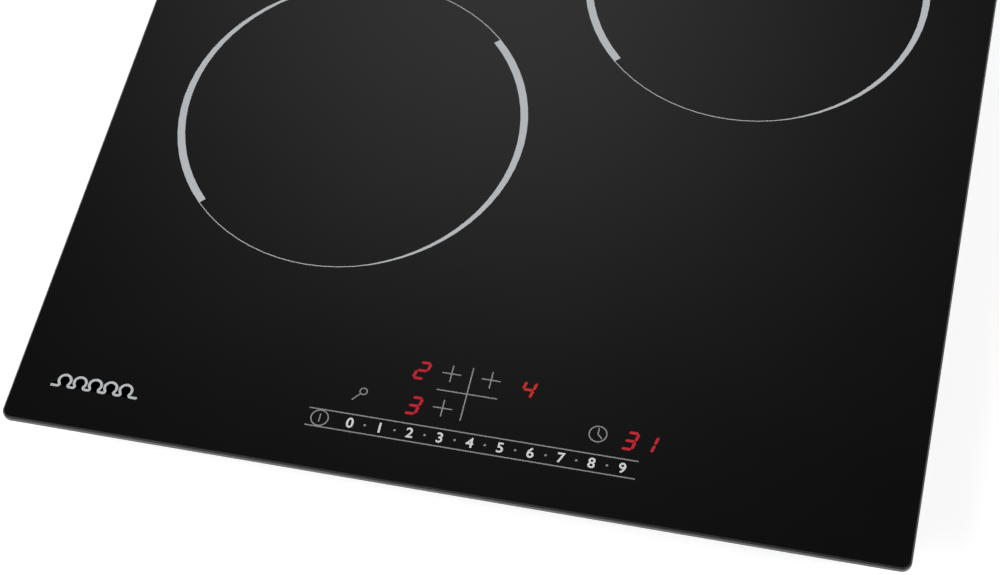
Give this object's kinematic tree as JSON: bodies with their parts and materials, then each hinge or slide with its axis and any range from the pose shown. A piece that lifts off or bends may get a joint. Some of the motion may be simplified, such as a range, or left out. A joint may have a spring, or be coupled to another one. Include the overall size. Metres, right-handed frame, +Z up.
{
  "type": "built-in induction cooktop",
  "caption": "Built-in induction cooktop: black bevelled glass with ring-marked cooking zones and a slider touch panel over a shallow steel housing with sprung coils.",
  "frame": {"origin": "centre of the housing's underside, at the bottom of the object", "axes": "+X to the right, +Y from the control panel to the rear, +Z up through the glass"},
  "size_m": [0.45, 0.52, 0.0551],
  "materials": {
    "black_glass": "polished black glass-ceramic",
    "enamel_grey": "fired grey enamel print",
    "enamel_light": "fired light grey enamel print",
    "seal_foam": "matte closed-cell foam",
    "zinc_steel": "satin zinc plate",
    "zinc_sheet": "galvanised sheet with a fine spangle",
    "screw_steel": "bright zinc plate",
    "spring_steel": "drawn wire",
    "aluminium_sheet": "mill finish",
    "aluminium_extrusion": "extruded",
    "black_plastic": "fine moulded texture",
    "dark_plastic": "fine moulded texture",
    "display_black": "glossy",
    "epoxy_black": "moulded epoxy",
    "white_nylon": "moulded nylon",
    "circuit_board": "green solder mask",
    "ribbon_grey": "flexible vinyl",
    "capacitor_yellow": "dipped film capacitor case",
    "silicone_lead": "silicone insulation",
    "copper_litz": "enamelled litz copper",
    "ferrite_grey": "sintered ferrite",
    "mica_sheet": "pressed mica",
    "white_ceramic": "sintered alumina"
  },
  "bodies": {
    "housing": {"glass_plate": "black_glass", "zone_markings": "enamel_grey", "panel_markings": "enamel_light", "glass_gasket": "seal_foam", "support_frame": "zinc_steel", "housing_pan": "zinc_sheet", "side_panels": "zinc_sheet", "housing_screws": "screw_steel", "intake_grille": "black_plastic", "coil_plate": "aluminium_sheet", "coil_springs_front_left": "spring_steel", "coil_springs_rear_left": "spring_steel", "coil_springs_right": "spring_steel", "control_carrier": "dark_plastic", "control_board": "circuit_board", "led_displays": "display_black", "touch_electrodes": "spring_steel", "ribbon_cable": "ribbon_grey", "power_board": "circuit_board", "board_pillars": "white_nylon", "heatsink": "aluminium_extrusion", "power_transistors": "epoxy_black", "capacitors": "capacitor_yellow", "filter_choke": "copper_litz", "board_connectors": "white_nylon", "wiring": "silicone_lead", "blower_housing": "black_plastic", "blower_cover": "black_plastic", "fan_stator": "copper_litz", "terminal_box": "white_nylon", "terminal_block": "white_nylon", "terminal_hinge_pin": "screw_steel", "cable_gland": "black_plastic", "cable_clamp": "dark_plastic", "clamp_screws": "screw_steel"},
    "coil_front_left": {"coil_carrier_front_left": "dark_plastic", "winding_front_left": "copper_litz", "ferrites_front_left": "ferrite_grey", "mica_sheet_front_left": "mica_sheet", "sensor_spring_front_left": "spring_steel"},
    "sensor_front_left_body": {"sensor_front_left": "white_ceramic"},
    "coil_rear_left": {"coil_carrier_rear_left": "dark_plastic", "winding_rear_left": "copper_litz", "ferrites_rear_left": "ferrite_grey", "mica_sheet_rear_left": "mica_sheet", "sensor_spring_rear_left": "spring_steel"},
    "sensor_rear_left_body": {"sensor_rear_left": "white_ceramic"},
    "coil_right": {"coil_carrier_right": "dark_plastic", "winding_right": "copper_litz", "ferrites_right": "ferrite_grey", "mica_sheet_right": "mica_sheet", "sensor_spring_right": "spring_steel"},
    "sensor_right_body": {"sensor_right": "white_ceramic"},
    "fan_rotor": {"fan_impeller": "dark_plastic", "fan_shaft": "screw_steel"},
    "terminal_flap": {"terminal_cover": "dark_plastic"},
    "clamp_front_left_body": {"clamp_front_left": "zinc_steel"},
    "clamp_rear_left_body": {"clamp_rear_left": "zinc_steel"},
    "clamp_front_right_body": {"clamp_front_right": "zinc_steel"},
    "clamp_rear_right_body": {"clamp_rear_right": "zinc_steel"}
  },
  "joints": [
    {"name": "coil_float_front_left", "type": "slide", "parent": "housing", "child": "coil_front_left", "axis": [0, 0, 1], "range_m": [-0.003, 0], "stiffness_N_per_m": 6000, "springref_m": 0.004, "deforming": ["coil_springs_front_left"]},
    {"name": "sensor_press_front_left", "type": "slide", "parent": "coil_front_left", "child": "sensor_front_left_body", "axis": [0, 0, 1], "range_m": [-0.002, 0], "stiffness_N_per_m": 400, "springref_m": 0.003, "deforming": ["sensor_spring_front_left"]},
    {"name": "coil_float_rear_left", "type": "slide", "parent": "housing", "child": "coil_rear_left", "axis": [0, 0, 1], "range_m": [-0.003, 0], "stiffness_N_per_m": 6000, "springref_m": 0.004, "deforming": ["coil_springs_rear_left"]},
    {"name": "sensor_press_rear_left", "type": "slide", "parent": "coil_rear_left", "child": "sensor_rear_left_body", "axis": [0, 0, 1], "range_m": [-0.002, 0], "stiffness_N_per_m": 400, "springref_m": 0.003, "deforming": ["sensor_spring_rear_left"]},
    {"name": "coil_float_right", "type": "slide", "parent": "housing", "child": "coil_right", "axis": [0, 0, 1], "range_m": [-0.003, 0], "stiffness_N_per_m": 6000, "springref_m": 0.004, "deforming": ["coil_springs_right"]},
    {"name": "sensor_press_right", "type": "slide", "parent": "coil_right", "child": "sensor_right_body", "axis": [0, 0, 1], "range_m": [-0.002, 0], "stiffness_N_per_m": 400, "springref_m": 0.003, "deforming": ["sensor_spring_right"]},
    {"name": "fan_spin", "type": "hinge", "parent": "housing", "child": "fan_rotor", "pos_m": [0.015, 0.105, 0.006], "axis": [0, 0, 1], "continuous": true},
    {"name": "terminal_cover_hinge", "type": "hinge", "parent": "housing", "child": "terminal_flap", "pos_m": [0.154, 0.2391, 0.007], "axis": [-1, 0, 0], "range_deg": [0, 90]},
    {"name": "swing_clamp_front_left", "type": "hinge", "parent": "housing", "child": "clamp_front_left_body", "pos_m": [-0.192, -0.14, 0.0036], "axis": [0, 0, 1], "range_deg": [0, 90]},
    {"name": "swing_clamp_rear_left", "type": "hinge", "parent": "housing", "child": "clamp_rear_left_body", "pos_m": [-0.192, 0.14, 0.0036], "axis": [0, 0, -1], "range_deg": [0, 90]},
    {"name": "swing_clamp_front_right", "type": "hinge", "parent": "housing", "child": "clamp_front_right_body", "pos_m": [0.192, -0.14, 0.0036], "axis": [0, 0, -1], "range_deg": [0, 90]},
    {"name": "swing_clamp_rear_right", "type": "hinge", "parent": "housing", "child": "clamp_rear_right_body", "pos_m": [0.192, 0.14, 0.0036], "axis": [0, 0, 1], "range_deg": [0, 90]}
  ]
}
